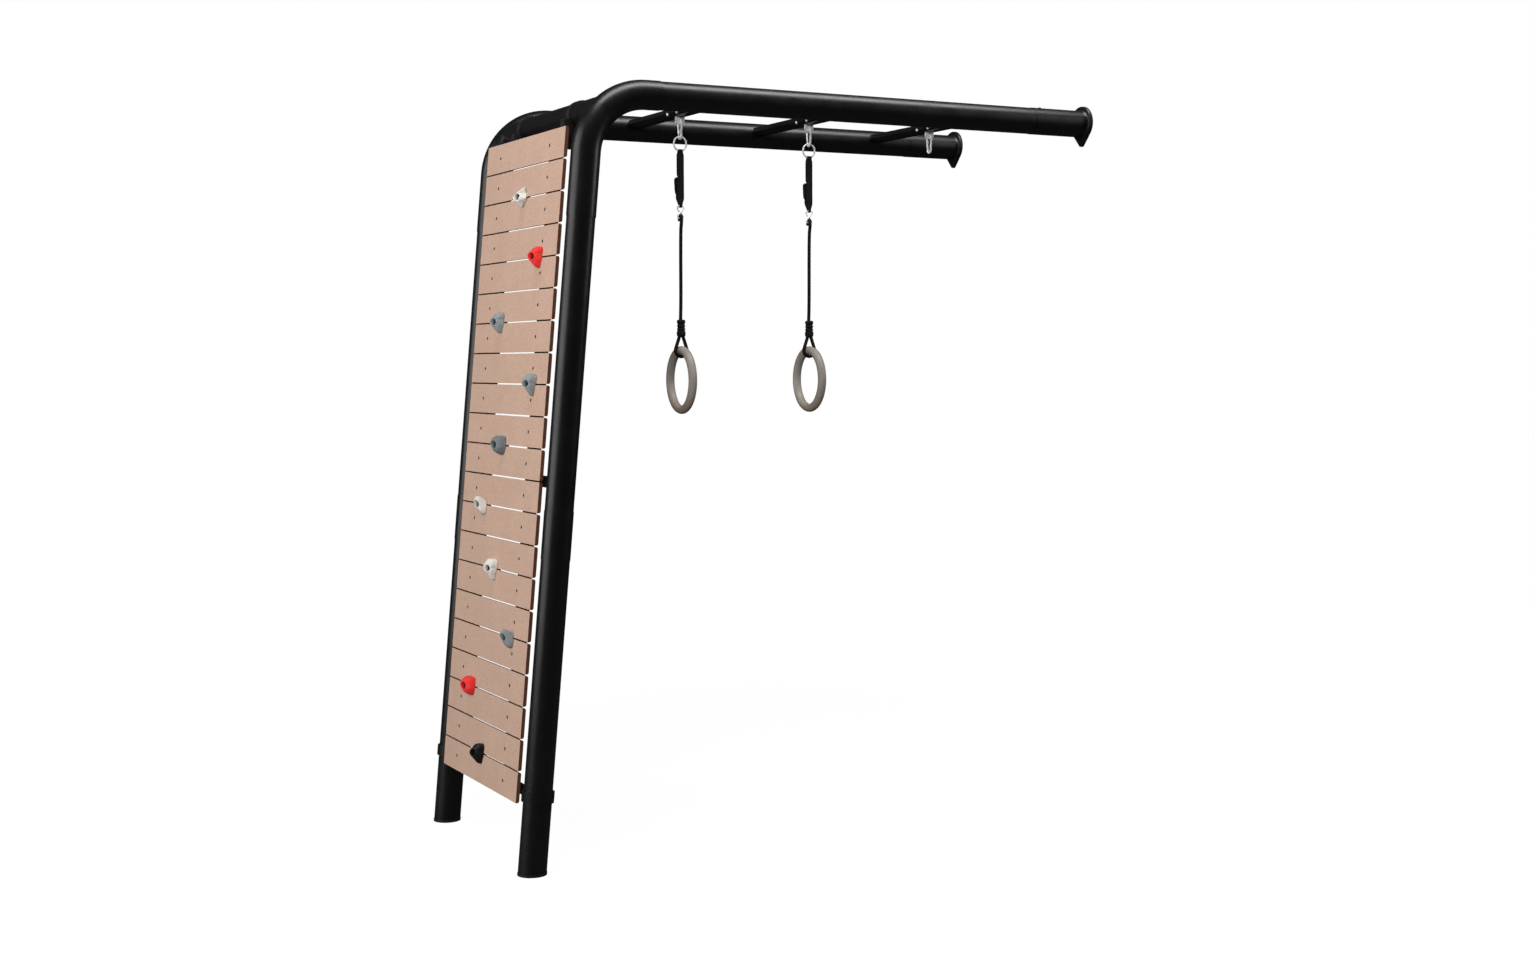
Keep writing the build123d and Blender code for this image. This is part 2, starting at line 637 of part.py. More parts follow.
# --- hanging sets -------------------------------------------------------------------------
def hook_points():
    """Centreline of the snap hook in (Y, Z): tangent points and the gate's ends."""
    big = Vector(0, HOOK_TOP_Z - HOOK_BIG_RADIUS)
    small = big - Vector(0, HOOK_SPACING)
    sine = (HOOK_BIG_RADIUS - HOOK_SMALL_RADIUS) / HOOK_SPACING
    side = Vector(math.sqrt(1 - sine * sine), sine)
    low = small + side * HOOK_SMALL_RADIUS
    high = big + side * HOOK_BIG_RADIUS
    along = (high - low).normalized()
    return {
        "low": low,
        "high": high,
        "hinge": low + along * GATE_START,
        "gate_end": low + along * GATE_END,
        "nose": low + along * (GATE_END + GATE_GAP),
        "stub": low + along * HOOK_STUB,
        "along": along,
        "top": Vector(0, HOOK_TOP_Z),
        "bottom": small - Vector(0, HOOK_SMALL_RADIUS),
    }


def in_hook_plane(x, point):
    return Vector(x, point.X, point.Y)


def snap_hook(x):
    p = hook_points()
    mirrored = {key: Vector(-p[key].X, p[key].Y) for key in ("low", "high")}
    q = {key: in_hook_plane(x, value) for key, value in p.items()}
    m = {key: in_hook_plane(x, value) for key, value in mirrored.items()}
    path = Wire(
        [
            Line(q["stub"], q["low"]),
            ThreePointArc(q["low"], q["bottom"], m["low"]),
            Line(m["low"], m["high"]),
            ThreePointArc(m["high"], q["top"], q["high"]),
            Line(q["high"], q["nose"]),
        ]
    )
    start = Plane(origin=q["stub"], z_dir=q["low"] - q["stub"])
    body = sweep(start * Circle(WIRE_7), path=path)
    tongue_start = q["stub"] - (q["hinge"] - q["stub"]) * 0.2
    tongue = Plane(
        origin=tongue_start, x_dir=(1, 0, 0), z_dir=q["hinge"] - q["stub"]
    ) * extrude(Rectangle(TONGUE_THICKNESS, 2 * TONGUE_RADIUS), (q["hinge"] - tongue_start).length)
    round_end = rod(
        q["hinge"] - Vector(TONGUE_THICKNESS / 2, 0, 0),
        q["hinge"] + Vector(TONGUE_THICKNESS / 2, 0, 0),
        TONGUE_RADIUS,
    )
    body += tongue + round_end
    across = Vector(WIRE_7, 0, 0)
    pin_hole = rod(q["hinge"] - across, q["hinge"] + across, GATE_PIN_RADIUS + JOINT_GAP)
    return first_solid(body - pin_hole)


def gate(x):
    p = hook_points()
    hinge = in_hook_plane(x, p["hinge"])
    end = in_hook_plane(x, p["gate_end"])
    bar = rod(hinge, end, GATE_RADIUS) + Pos(*hinge) * Sphere(GATE_RADIUS)
    slot_height = TONGUE_RADIUS + 2 * SEAT_GAP
    slot = Plane(origin=hinge, x_dir=(1, 0, 0), z_dir=end - hinge) * Pos(0, 0, -slot_height / 4) * Box(
        TONGUE_THICKNESS + 2 * SEAT_GAP, 3 * GATE_RADIUS, 3 * slot_height
    )
    bar -= slot
    pin = rod(hinge - Vector(GATE_RADIUS, 0, 0), hinge + Vector(GATE_RADIUS, 0, 0), GATE_PIN_RADIUS)
    return first_solid(bar + pin)


def o_ring_radius():
    return O_RING_OD / 2 - WIRE_6


def o_ring_top():
    """Height of the O-ring's wire centre where it hangs in the hook."""
    return HOOK_TOP_Z - HOOK_BIG_RADIUS - HOOK_SPACING - HOOK_SMALL_RADIUS + WIRE_7 + SEAT_GAP + WIRE_6


def o_ring_bottom():
    return o_ring_top() - 2 * o_ring_radius()


def o_ring(x):
    centre = (x, 0, o_ring_top() - o_ring_radius())
    return Pos(*centre) * Rot(90, 0, 0) * Torus(o_ring_radius(), WIRE_6)


def strap(x):
    """Webbing loop as one closed piece, narrowed where it goes through the steel eyes."""
    eyes = (
        (o_ring_bottom(), STRAP_TOP_RADIUS, STRAP_TOP_HOLE),
        (LINK_TOP_Z, STRAP_END_RADIUS, STRAP_END_HOLE),
    )
    profile = make_face(Polyline(*STRAP_SIDE, close=True))
    for z, outer, _ in eyes:
        profile += Pos(0, z) * Circle(outer)
    for z, _, hole in eyes:
        profile -= Pos(0, z) * Circle(hole)
    body = yz_shape(x - STRAP_WIDTH / 2, extrude(profile, STRAP_WIDTH))
    left_edge = [(-across, z) for across, z in reversed(STRAP_EDGE)]
    outline = make_face(Polyline(*STRAP_EDGE, *left_edge, close=True))
    front = Plane(origin=(x, HALF_SPAN / 4, 0), x_dir=(1, 0, 0), z_dir=(0, -1, 0))
    return first_solid(body & (front * extrude(outline, HALF_SPAN / 2)))


def lever_pin(x, radius):
    """Bar across the buckle at the lever's hinge."""
    half = BUCKLE_WIDTH / 2
    ends = [(x + side * half, LEVER_HINGE_Y, LEVER_HINGE_Z) for side in (-1, 1)]
    return rod(*ends, radius)


def buckle(x):
    """Base plate and cheeks of the cam buckle behind the strap."""
    half = BUCKLE_WIDTH / 2
    high = (BUCKLE_BOTTOM_Z + 1, BUCKLE_TOP_Z)
    body = block((x - half, x + half), (BUCKLE_FRONT_Y, BUCKLE_BACK_Y), high)
    deep = (BUCKLE_BACK_Y - SEAT_GAP, LEVER_HINGE_Y + CHEEK_DEPTH)
    beside = (LEVER_HINGE_Z - CHEEK_DROP, LEVER_HINGE_Z + CHEEK_RISE)
    for side in (-1, 1):
        across = sorted((x + side * half, x + side * (half - CHEEK)))
        body += block(across, deep, beside)
    return first_solid(body - lever_pin(x, LEVER_PIN_R + JOINT_GAP))


def buckle_lever(x):
    """Ribbed thumb lever of the buckle, with its own trunnions."""
    half = BUCKLE_WIDTH / 2 - CHEEK - SEAT_GAP
    inner_tip, outer_tip = LEVER_TIP_Y
    low = (outer_tip, BUCKLE_BOTTOM_Z)
    outside = ThreePointArc(LEVER_TOP, LEVER_BELLY, low)
    inside = Polyline(
        low, (inner_tip, BUCKLE_BOTTOM_Z + 1), (LEVER_HINGE_Y - 2, LEVER_HINGE_Z), LEVER_TOP
    )
    profile = make_face([outside] + inside.edges())
    profile += Pos(LEVER_HINGE_Y, LEVER_HINGE_Z) * Circle(LEVER_CAM_R)
    for rib in range(RIBS):
        profile -= Pos(RIB_Y, RIB_LOW_Z + rib * RIB_PITCH) * Circle(RIB_RADIUS)
    body = yz_shape(x - half, extrude(profile, 2 * half))
    return first_solid(body + lever_pin(x, LEVER_PIN_R))


def link(x):
    """Figure-eight link of steel wire."""
    eyes = [LINK_TOP_Z - LINK_EYE_RADIUS, LINK_BOTTOM_Z + LINK_EYE_RADIUS]
    shape = Pos(x, 0, eyes[0]) * Rot(90, 0, 0) * Torus(LINK_EYE_RADIUS, WIRE_5)
    shape += Pos(x, 0, eyes[1]) * Rot(90, 0, 0) * Torus(LINK_EYE_RADIUS, WIRE_5)
    return first_solid(shape)


def rope(x):
    path = FilletPolyline(*ROPE_ROUTE, radius=list(ROPE_RADII))
    tube = sweep(Plane(origin=ROPE_ROUTE[0], z_dir=(0, 0, 1)) * Circle(ROPE_RADIUS), path=path)
    section = math.pi * ROPE_RADIUS * ROPE_RADIUS
    fullness = tube.volume / section / path.length
    print("rope length", round(path.length, 1), "volume ratio", round(fullness, 4))
    print("rope radii", ROPE_RADII)
    return Pos(x, 0, 0) * Rot(0, 0, RING_TURN) * tube


def rope_knot(x, tube):
    """Wrapped knot round the rope, ribbed like the turns of its lashing."""
    height = (KNOT_TOP_Z - KNOT_BOTTOM_Z) / KNOT_TURNS
    body = rod((x, 0, KNOT_BOTTOM_Z), (x, 0, KNOT_TOP_Z), KNOT_RADIUS - 3)
    for turn in range(KNOT_TURNS):
        z = KNOT_BOTTOM_Z + height * (turn + 0.5)
        body += Pos(x, 0, z) * Torus(KNOT_RADIUS - height / 3, height / 3)
    return first_solid(body - tube)


def gym_ring(x):
    centre = (x, 0, RING_TOP_Z - RING_RADIUS)
    return Pos(*centre) * Rot(0, 0, RING_TURN) * Rot(0, 90, 0) * Torus(RING_RADIUS, RING_TUBE_RADIUS)


# --- writing ------------------------------------------------------------------------------
def write_frames():
    places = joint_screw_places()
    for name, y in (("near", -HALF_SPAN), ("far", HALF_SPAN)):
        pieces = {
            "leg_lower": lower_leg(y),
            "leg_upper": upper_leg(y),
            "corner_tube": corner_tube(y),
            "top_beam": beam(y),
            "wall_flange": wall_flange(y),
        }
        for piece, shape in pieces.items():
            save(f"{piece}_{name}", drilled(shape, places))
    save("foot_caps", foot_cap(-HALF_SPAN), foot_cap(HALF_SPAN))
    save("joint_screws", *[button_head(seat, out) for seat, out in places])


def write_ladder():
    places = rung_screw_places()
    save("crossbar", crossbar())
    for number, x in enumerate(RUNG_XS, 1):
        save(f"rung_{number}", drilled(rung(x), places))
    save("hanger_lugs", *[lug(x) for x in RUNG_XS])
    save("rung_screws", *[button_head(seat, out) for seat, out in places])


def write_wall():
    cutters = bolt_cut(HOLD_BOLT_R, -PLANK_THICKNESS, 0)
    boards = [plank(number, cutters) for number in range(PLANK_COUNT)]
    per_group = PLANK_COUNT // len(PLANK_GROUPS)
    for group, name in enumerate(PLANK_GROUPS):
        save(name, *boards[group * per_group:(group + 1) * per_group])
    save("plank_screws", *plank_screws())
    save("batten_near", batten(-1))
    save("batten_far", batten(1))
    save("leg_clamps", leg_clamp(-1), leg_clamp(1))
    save("side_brackets", side_bracket(-1), side_bracket(1))
    save("batten_saddles", saddle(-1), saddle(1))
    save("hold_bolts", *hold_bolts())
    for index, place in enumerate(HOLDS):
        save(place[0], hold(index))


def write_hanging_sets():
    for number, x in enumerate(RUNG_XS, 1):
        save(f"snap_hook_{number}", snap_hook(x))
        save(f"hook_gate_{number}", gate(x))
    for number, x in enumerate(RUNG_XS[:2], 1):
        tube = rope(x)
        save(f"o_ring_{number}", o_ring(x))
        save(f"strap_{number}", strap(x))
        save(f"strap_buckle_{number}", buckle(x))
        save(f"buckle_lever_{number}", buckle_lever(x))
        save(f"link_{number}", link(x))
        save(f"rope_{number}", tube)
        save(f"rope_knot_{number}", rope_knot(x, tube))
        save(f"gym_ring_{number}", gym_ring(x))


os.makedirs("parts", exist_ok=True)
write_frames()
write_ladder()
write_wall()
write_hanging_sets()
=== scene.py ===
"""Materials, lights, camera and fine pieces of the climbing frame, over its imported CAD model."""

import json
import math

import bmesh
import bpy
from mathutils import Matrix, Vector


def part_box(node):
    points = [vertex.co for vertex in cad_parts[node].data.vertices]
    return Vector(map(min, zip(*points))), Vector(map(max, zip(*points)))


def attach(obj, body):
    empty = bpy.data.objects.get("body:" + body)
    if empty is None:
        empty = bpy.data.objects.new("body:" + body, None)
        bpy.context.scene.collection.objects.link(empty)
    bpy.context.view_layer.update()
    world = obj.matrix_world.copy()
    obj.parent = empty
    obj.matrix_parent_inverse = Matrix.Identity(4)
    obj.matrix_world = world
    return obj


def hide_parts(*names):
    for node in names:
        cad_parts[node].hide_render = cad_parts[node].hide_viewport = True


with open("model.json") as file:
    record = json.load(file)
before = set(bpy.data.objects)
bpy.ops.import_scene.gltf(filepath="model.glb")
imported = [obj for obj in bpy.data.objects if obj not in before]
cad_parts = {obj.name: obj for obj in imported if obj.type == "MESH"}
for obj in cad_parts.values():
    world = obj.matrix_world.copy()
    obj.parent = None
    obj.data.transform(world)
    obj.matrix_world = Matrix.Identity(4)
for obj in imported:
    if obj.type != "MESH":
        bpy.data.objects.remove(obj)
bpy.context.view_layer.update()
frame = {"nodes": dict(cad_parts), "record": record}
MM = 0.001

# --- places, in metres ----------------------------------------------------------------------
LEAN = math.radians(5.14)                      # the climbing wall and the legs lean this much
WALL_ORIGIN = Vector((-0.8362, 0, 2.3908))     # front of the planks at the height of the beams
FIRST_GAP = 0.1982                             # down the wall to the first gap between planks
PLANK_PITCH = 0.0996
SCREW_Y = 0.220                                # plank screws, either side of the middle
SCREW_SHADE_RADIUS = 0.0054                     # edge of the painted shade round each plank screw, wider than the countersink
CAMERA_PLACE = (-3.0943, -5.9224, 1.5607)
CAMERA_YAW, CAMERA_PITCH, CAMERA_ROLL = (math.radians(a) for a in (27.81, -3.42, -0.19))
CAMERA_LENS = 45.44
RING_TURN = math.radians(-3)                   # the gym rings hang turned about Z
RING_RADIUS = 0.100
RING_TUBE = 0.0145
ROPE_RADIUS = 0.006
BRAID_STRANDS, BRAID_PITCH = 6, 0.0105
KNOT_STRANDS, KNOT_PITCH = 12, 0.0065
STRAP_TOP_Z = 2.2744                           # middle of the O-ring's wire, inside the strap's top eye
LINK_TOP_Z, LINK_BOTTOM_Z = 2.0900, 2.0492

# The rope of one set, as x across its loop, y, z: over the link, down, and round the gym ring.
ROPE_ROUTE = (
    (0, 0.0089, 2.0402),
    (0, 0.0089, 2.0581),
    (0, -0.0089, 2.0581),
    (0, -0.0089, 2.0352),
    (0, 0, 2.0052),
    (0, 0, 1.6720),
    (-0.0164, 0, 1.6236),
    (-0.0232, 0, 1.6033),
    (-0.0107, 0, 1.5859),
    (0.0107, 0, 1.5859),
    (0.0232, 0, 1.6033),
    (0.0164, 0, 1.6236),
    (0.0062, 0, 1.6538),
)


def set_x(number):
    """X of a hanging set: the middle of the rung that carries it."""
    low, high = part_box(f"rung_{number}")
    return (low[0] + high[0]) / 2


# --- camera ---------------------------------------------------------------------------------
def add_camera():
    camera = linked("camera", bpy.data.cameras.new("camera"))
    camera.data.lens = CAMERA_LENS
    camera.data.clip_end = 100
    forward = Vector((
        math.sin(CAMERA_YAW) * math.cos(CAMERA_PITCH),
        math.cos(CAMERA_YAW) * math.cos(CAMERA_PITCH),
        math.sin(CAMERA_PITCH),
    ))
    level = Vector((math.cos(CAMERA_YAW), -math.sin(CAMERA_YAW), 0))
    upright = level.cross(forward)
    right = level * math.cos(CAMERA_ROLL) + upright * math.sin(CAMERA_ROLL)
    top = upright * math.cos(CAMERA_ROLL) - level * math.sin(CAMERA_ROLL)
    turn = Matrix((right, top, -forward)).transposed().to_4x4()
    camera.matrix_world = Matrix.Translation(CAMERA_PLACE) @ turn
    bpy.context.scene.camera = camera


# --- mesh helpers ---------------------------------------------------------------------------
def linked(name, data):
    """New object that holds the data, in the scene."""
    made = bpy.data.objects.new(name, data)
    bpy.context.scene.collection.objects.link(made)
    return made


def finished(mesh, name):
    """Mesh data out of a bmesh, which is freed."""
    data = bpy.data.meshes.new(name)
    mesh.to_mesh(data)
    mesh.free()
    return data


def dress(piece, material):
    piece.data.materials.clear()
    piece.data.materials.append(material)


def add_object(name, data, material, body, replaced):
    """Link a piece, give it its material and slot, and let it ride on its body."""
    piece = linked(name, data)
    dress(piece, material)
    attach(piece, body)
    if replaced:
        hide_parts(*replaced)
    return piece


def grid_mesh(name, rings, closed):
    """Smooth mesh through rings of points; closed joins last to first, else both ends are capped."""
    mesh = bmesh.new()
    rows = [[mesh.verts.new(point) for point in ring] for ring in rings]
    pairs = list(zip(rows, rows[1:]))
    if closed:
        pairs.append((rows[-1], rows[0]))
    for low, high in pairs:
        for k in range(len(low)):
            following = (k + 1) % len(low)
            mesh.faces.new((low[k], low[following], high[following], high[k]))
    if not closed:
        mesh.faces.new(list(reversed(rows[0])))
        mesh.faces.new(rows[-1])
    bmesh.ops.recalc_face_normals(mesh, faces=mesh.faces)
    data = finished(mesh, name)
    data.polygons.foreach_set("use_smooth", [True] * len(data.polygons))
    return data


def frames_along(points, first_normal, closed=False):
    """Tangent, normal and third direction at each point, carried along without twist."""
    count = len(points)
    normal = Vector(first_normal)
    result = []
    for k, point in enumerate(points):
        before = points[k - 1] if closed or k else point
        after = points[(k + 1) % count] if closed or k < count - 1 else point
        tangent = (after - before).normalized()
        normal = (normal - tangent * normal.dot(tangent)).normalized()
        result.append((tangent, normal, tangent.cross(normal)))
    return result


def tube_rings(points, radius, sides, first_normal, closed=False, relief=None):
    """Rings of points round a line; relief(angle, distance) scales the radius."""
    rings = []
    travelled = 0.0
    for k, (_, normal, third) in enumerate(frames_along(points, first_normal, closed)):
        if k:
            travelled += (points[k] - points[k - 1]).length
        ring = []
        for side in range(sides):
            angle = 2 * math.pi * side / sides
            reach = radius * (relief(angle, travelled) if relief else 1.0)
            ring.append(points[k] + (normal * math.cos(angle) + third * math.sin(angle)) * reach)
        rings.append(ring)
    return rings


def spline_points(route, name, resolution=160):
    """Points read from the smooth spline that has the route as its control points."""
    curve = bpy.data.curves.new(name, "CURVE")
    curve.dimensions = "3D"
    curve.resolution_u = resolution
    spline = curve.splines.new("NURBS")
    spline.points.add(len(route) - 1)
    for point, place in zip(spline.points, route):
        point.co = (*place, 1)
    spline.order_u = 3
    spline.use_endpoint_u = True
    holder = linked(name, curve)
    mesh = bpy.data.meshes.new_from_object(holder)
    points = [vertex.co.copy() for vertex in mesh.vertices]
    bpy.data.objects.remove(holder)
    bpy.data.meshes.remove(mesh)
    bpy.data.curves.remove(curve)
    return points


def thinned(points, least):
    """The spline's points without those that lie closer together than this."""
    kept = [points[0]]
    for point in points[1:-1]:
        if (point - kept[-1]).length >= least and (point - points[-1]).length >= least:
            kept.append(point)
    return kept + [points[-1]]


def smooth_value(stops, at):
    """Value between (place, value) stops, eased from one to the next."""
    if at <= stops[0][0]:
        return stops[0][1]
    for (low, first), (high, second) in zip(stops, stops[1:]):
        if at <= high:
            share = (at - low) / (high - low)
            share = share * share * (3 - 2 * share)
            return first + (second - first) * share
    return stops[-1][1]


# --- material helpers -----------------------------------------------------------------------
class Surface:
    """A Principled material with helpers for the few nodes that the surfaces here use."""

    def __init__(self, name, roughness, metallic=0.0, specular=0.5):
        self.material = bpy.data.materials.new(name)
        self.material.use_nodes = True
        self.tree = self.material.node_tree
        self.shader = self.tree.nodes["Principled BSDF"]
        self.shader.inputs["Roughness"].default_value = roughness
        self.shader.inputs["Metallic"].default_value = metallic
        self.shader.inputs["Specular IOR Level"].default_value = specular
        self.coordinates = self.node("ShaderNodeTexCoord").outputs["Object"]
        self.last_normal = None

    def node(self, kind, **settings):
        made = self.tree.nodes.new(kind)
        for key, value in settings.items():
            setattr(made, key, value)
        return made

    def link(self, output, socket):
        self.tree.links.new(output, socket)

    def stretched(self, scale, turn=(0, 0, 0)):
        mapping = self.node("ShaderNodeMapping")
        mapping.inputs["Scale"].default_value = scale
        mapping.inputs["Rotation"].default_value = turn
        self.link(self.coordinates, mapping.inputs["Vector"])
        return mapping.outputs["Vector"]

    def noise(self, scale, detail=3.0, roughness=0.5, vector=None):
        made = self.node("ShaderNodeTexNoise")
        made.inputs["Scale"].default_value = scale
        made.inputs["Detail"].default_value = detail
        made.inputs["Roughness"].default_value = roughness
        self.link(vector or self.coordinates, made.inputs["Vector"])
        return made.outputs["Fac"]

    def ramp(self, factor, stops):
        made = self.node("ShaderNodeValToRGB")
        elements = made.color_ramp.elements
        while len(elements) < len(stops):
            elements.new(0.5)
        for element, (place, colour) in zip(elements, stops):
            element.position = place
            element.color = (*colour, 1)
        self.link(factor, made.inputs["Fac"])
        return made.outputs["Color"]

    def spread(self, factor, low, high, from_low=0.3, from_high=0.7):
        made = self.node("ShaderNodeMapRange")
        made.inputs["From Min"].default_value = from_low
        made.inputs["From Max"].default_value = from_high
        made.inputs["To Min"].default_value = low
        made.inputs["To Max"].default_value = high
        self.link(factor, made.inputs["Value"])
        return made.outputs["Result"]

    def mix(self, factor, first, second, blend="MIX"):
        made = self.node("ShaderNodeMix", data_type="RGBA", blend_type=blend)
        if isinstance(factor, float):
            made.inputs["Factor"].default_value = factor
        else:
            self.link(factor, made.inputs["Factor"])
        for socket, value in (("A", first), ("B", second)):
            target = [s for s in made.inputs if s.name == socket and s.type == "RGBA"][0]
            if isinstance(value, tuple):
                target.default_value = (*value, 1)
            else:
                self.link(value, target)
        return [s for s in made.outputs if s.type == "RGBA"][0]

    def math(self, operation, first, second=None):
        made = self.node("ShaderNodeMath", operation=operation)
        for place, value in enumerate((first, second)):
            if value is None:
                continue
            if isinstance(value, (int, float)):
                made.inputs[place].default_value = value
            else:
                self.link(value, made.inputs[place])
        return made.outputs["Value"]

    def colour(self, output):
        self.link(output, self.shader.inputs["Base Color"])

    def roughness(self, output):
        self.link(output, self.shader.inputs["Roughness"])

    def bump(self, height, strength, distance):
        made = self.node("ShaderNodeBump")
        made.inputs["Strength"].default_value = strength
        made.inputs["Distance"].default_value = distance
        self.link(height, made.inputs["Height"])
        if self.last_normal:
            self.link(self.last_normal, made.inputs["Normal"])
        self.last_normal = made.outputs["Normal"]
        self.link(self.last_normal, self.shader.inputs["Normal"])


def paint_material():
    """Black powder coat: a fine orange peel, and a slightly uneven gloss."""
    surface = Surface("black_powder_coat", 0.34, specular=0.5)
    tone = surface.noise(6, 4, 0.6)
    surface.colour(surface.ramp(tone, ((0.3, (0.0022, 0.0022, 0.0023)), (0.7, (0.0036, 0.0036, 0.0037)))))
    surface.roughness(surface.spread(surface.noise(14, 5, 0.65), 0.29, 0.40))
    surface.bump(surface.noise(900, 2, 0.5), 0.10, 0.0002)
    return surface.material


def black_plastic_material():
    """Moulded black plastic with a fine spark-eroded grain."""
    surface = Surface("black_moulded_plastic", 0.5, specular=0.4)
    tone = surface.noise(40, 3, 0.5)
    surface.colour(surface.ramp(tone, ((0.3, (0.006, 0.006, 0.006)), (0.7, (0.011, 0.011, 0.011)))))
    surface.roughness(surface.spread(surface.noise(60, 4, 0.6), 0.42, 0.6))
    surface.bump(surface.noise(1600, 2, 0.6), 0.15, 0.0001)
    return surface.material


def dark_screw_material():
    surface = Surface("black_oxide_screw", 0.55, specular=0.3)
    tone = surface.noise(300, 3)
    surface.colour(surface.ramp(tone, ((0.3, (0.004, 0.0035, 0.003)), (0.7, (0.010, 0.009, 0.008)))))
    surface.roughness(surface.spread(surface.noise(500, 3), 0.45, 0.65))
    surface.bump(surface.noise(2500, 2), 0.2, 0.0002)
    return surface.material


def steel_material(name, light, rough, metallic):
    """Plated steel: faint drawing marks and cloudy plating."""
    surface = Surface(name, rough, metallic=metallic)
    cloud = surface.noise(120, 4, 0.6)
    dark = tuple(c * 0.82 for c in light)
    surface.colour(surface.ramp(cloud, ((0.3, dark), (0.65, light))))
    fine = surface.noise(1800, 3, 0.6)
    surface.roughness(surface.spread(fine, rough * 0.8, rough * 1.35))
    surface.bump(fine, 0.08, 0.0002)
    return surface.material


def painted_screw_shade(surface):
    """One over each plank screw and over a rim round its countersink, where shade is painted dark on the
    plank; nought elsewhere.
    """
    down_wall = surface.node("ShaderNodeVectorMath", operation="DOT_PRODUCT")
    down_wall.inputs[1].default_value = (-math.sin(LEAN), 0, -math.cos(LEAN))
    surface.link(surface.coordinates, down_wall.inputs[0])
    first = WALL_ORIGIN.dot(Vector((-math.sin(LEAN), 0, -math.cos(LEAN)))) + FIRST_GAP
    below_gap = surface.math("SUBTRACT", down_wall.outputs["Value"], first)
    boards = surface.math("DIVIDE", below_gap, PLANK_PITCH)
    along = surface.math("SUBTRACT", surface.math("FLOORED_MODULO", boards, 1.0), 0.5)
    along = surface.math("MULTIPLY", along, PLANK_PITCH)
    place = surface.node("ShaderNodeSeparateXYZ")
    surface.link(surface.coordinates, place.inputs["Vector"])
    across = surface.math("SUBTRACT", surface.math("ABSOLUTE", place.outputs["Y"]), SCREW_Y)
    squares = surface.math("ADD", surface.math("POWER", along, 2.0), surface.math("POWER", across, 2.0))
    return surface.math("LESS_THAN", squares, SCREW_SHADE_RADIUS ** 2)


def plank_material():
    """Pressed wood board: fine pale fibres on the faces, dark reddish sawn edges, and painted shade over
    the screws.
    """
    surface = Surface("pressed_wood_board", 0.62, specular=0.3)
    lean_back = surface.stretched((1, 1, 1), (0, LEAN, 0))
    fibres = surface.node("ShaderNodeMapping")
    fibres.inputs["Scale"].default_value = (1, 0.45, 1)
    surface.link(lean_back, fibres.inputs["Vector"])
    coarse = surface.noise(330, 5, 0.75, fibres.outputs["Vector"])
    speck = surface.noise(900, 3, 0.6, fibres.outputs["Vector"])
    cloud = surface.noise(9, 3, 0.5)
    face = surface.ramp(coarse, (
        (0.30, (0.390, 0.232, 0.160)), (0.45, (0.520, 0.345, 0.258)),
        (0.58, (0.590, 0.405, 0.315)), (0.72, (0.690, 0.505, 0.410)),
    ))
    flecks = surface.ramp(speck, ((0.33, (0.74, 0.68, 0.62)), (0.46, (1, 1, 1))))
    face = surface.mix(0.75, face, flecks, "MULTIPLY")
    patches = surface.ramp(cloud, ((0.3, (0.94, 0.94, 0.94)), (0.7, (1, 1, 1))))
    face = surface.mix(1.0, face, patches, "MULTIPLY")
    edge = surface.ramp(surface.noise(500, 5, 0.7), (
        (0.3, (0.055, 0.020, 0.012)), (0.55, (0.110, 0.044, 0.027)), (0.75, (0.185, 0.085, 0.055)),
    ))
    geometry = surface.node("ShaderNodeNewGeometry")
    facing = surface.node("ShaderNodeVectorMath", operation="DOT_PRODUCT")
    facing.inputs[1].default_value = (-math.cos(LEAN), 0, math.sin(LEAN))
    surface.link(geometry.outputs["True Normal"], facing.inputs[0])
    flat = surface.math("ABSOLUTE", facing.outputs["Value"])
    flat = surface.math("GREATER_THAN", flat, 0.9)
    # Painted shade: the plank turns near black over each screw's countersink and a rim round it.
    face = surface.mix(painted_screw_shade(surface), face, (0.006, 0.004, 0.003))
    surface.colour(surface.mix(flat, edge, face))
    surface.roughness(surface.spread(coarse, 0.55, 0.75))
    surface.bump(coarse, 0.2, 0.00015)
    return surface.material


def pocket_shade(surface):
    """Painted shade: nought where a hold's surface is shut in, as deep in its bolt pocket, one where it
    is open.
    """
    made = surface.node("ShaderNodeAmbientOcclusion", only_local=True, samples=12)
    made.inputs["Distance"].default_value = POCKET_SHADE_REACH
    return surface.spread(made.outputs["AO"], 0.0, 1.0, 0.34, 0.74)


def hold_material(name, base, low=0.86):
    """Cast resin with sand in it: a fine gritty grain, faint chalky wear, and painted shade in its
    hollows.
    """
    surface = Surface(name, 0.62, specular=0.35)
    grit = surface.noise(1300, 3, 0.6)
    cloud = surface.noise(28, 4, 0.6)
    dark = tuple(c * low for c in base)
    tone = surface.ramp(cloud, ((0.3, dark), (0.7, base)))
    specks = surface.ramp(grit, ((0.34, (0.78, 0.78, 0.78)), (0.5, (1, 1, 1))))
    tone = surface.mix(0.7, tone, specks, "MULTIPLY")
    # Painted shade: the colour falls to a dark copy of the resin's colour where the surface is shut in,
    # as in the bolt pocket.
    surface.colour(surface.mix(pocket_shade(surface), tuple(c * 0.12 for c in base), tone))
    surface.roughness(surface.spread(grit, 0.5, 0.75))
    surface.bump(grit, 0.20, 0.00015)
    surface.bump(surface.noise(160, 2, 0.5), 0.15, 0.0005)
    return surface.material


